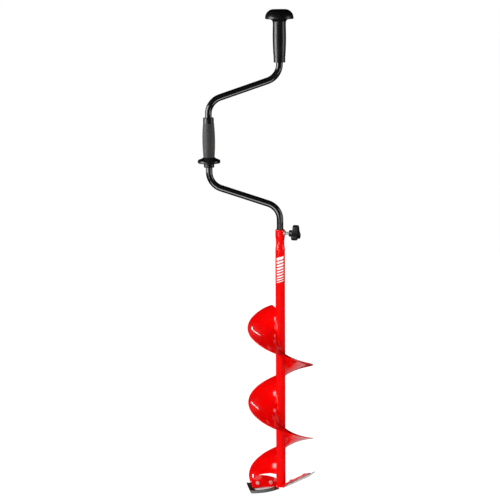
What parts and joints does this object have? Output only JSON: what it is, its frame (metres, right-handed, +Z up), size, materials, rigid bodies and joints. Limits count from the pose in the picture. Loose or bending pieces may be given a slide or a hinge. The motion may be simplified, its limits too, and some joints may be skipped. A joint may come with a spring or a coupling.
{
  "type": "hand ice auger",
  "caption": "Hand-cranked ice auger: red shaft with a spiral flight and angled blades, telescoping black crank handle with spinning grips and a clamp knob.",
  "frame": {"origin": "on the shaft axis, in the plane that the cutting edges sweep", "axes": "+Z up the shaft axis towards the palm cap; -X towards the mid grip of the crank; the left cutting edge points to -X and -Y"},
  "size_m": [0.3082, 0.176, 1.2934],
  "materials": {
    "red_paint": "gloss",
    "black_paint": "gloss",
    "blade_steel": "ground",
    "zinc": "zinc plated",
    "brass": "turned",
    "nylon": "matte",
    "grip_plastic": "satin",
    "grip_rubber": "matte",
    "knob_plastic": "satin"
  },
  "bodies": {
    "auger": {"shaft_tube": "red_paint", "threaded_insert": "zinc", "flight": "red_paint", "blade_plate_left": "red_paint", "blade_plate_right": "red_paint", "blade_left": "blade_steel", "blade_right": "blade_steel", "blade_bolts_left": "zinc", "blade_bolts_right": "zinc", "blade_nuts_left": "zinc", "blade_nuts_right": "zinc"},
    "bush": {"guide_bush": "nylon"},
    "handle": {"handle_tube": "black_paint", "handle_end_plug": "nylon", "bush_clip": "zinc", "grip_stop_rings": "zinc", "tube_insert": "brass", "top_grip_washer": "zinc", "top_grip_screw": "zinc"},
    "mid_grip": {"mid_grip_half_front": "grip_plastic", "mid_grip_half_back": "grip_plastic", "mid_grip_cover": "grip_rubber"},
    "top_grip": {"top_grip_sleeve": "grip_plastic", "palm_cap": "grip_plastic"},
    "stud": {"clamp_stud": "zinc"},
    "knob": {"clamp_knob": "knob_plastic", "knob_insert": "brass"}
  },
  "joints": [
    {"name": "handle_slide", "type": "slide", "parent": "auger", "child": "bush", "axis": [0, 0, 1], "range_m": [-0.025, 0.2]},
    {"name": "handle_swivel", "type": "hinge", "parent": "bush", "child": "handle", "pos_m": [0, 0, 0.45], "axis": [0, 0, 1], "continuous": true},
    {"name": "mid_grip_spin", "type": "hinge", "parent": "handle", "child": "mid_grip", "pos_m": [-0.184, 0, 0.955], "axis": [0, 0, 1], "continuous": true},
    {"name": "top_grip_spin", "type": "hinge", "parent": "handle", "child": "top_grip", "pos_m": [0, 0, 1.2], "axis": [0, 0, 1], "continuous": true},
    {"name": "clamp_travel", "type": "slide", "parent": "auger", "child": "stud", "axis": [0.9397, -0.342, 0], "range_m": [0, 0.004]},
    {"name": "knob_turn", "type": "hinge", "parent": "stud", "child": "knob", "pos_m": [0.03, -0.01092, 0.715], "axis": [0.9397, -0.342, 0], "range_deg": [0, 1152]}
  ],
  "couplings": [
    {"joint": "clamp_travel", "follows": "knob_turn", "m_per_rad": 0.00019894}
  ]
}
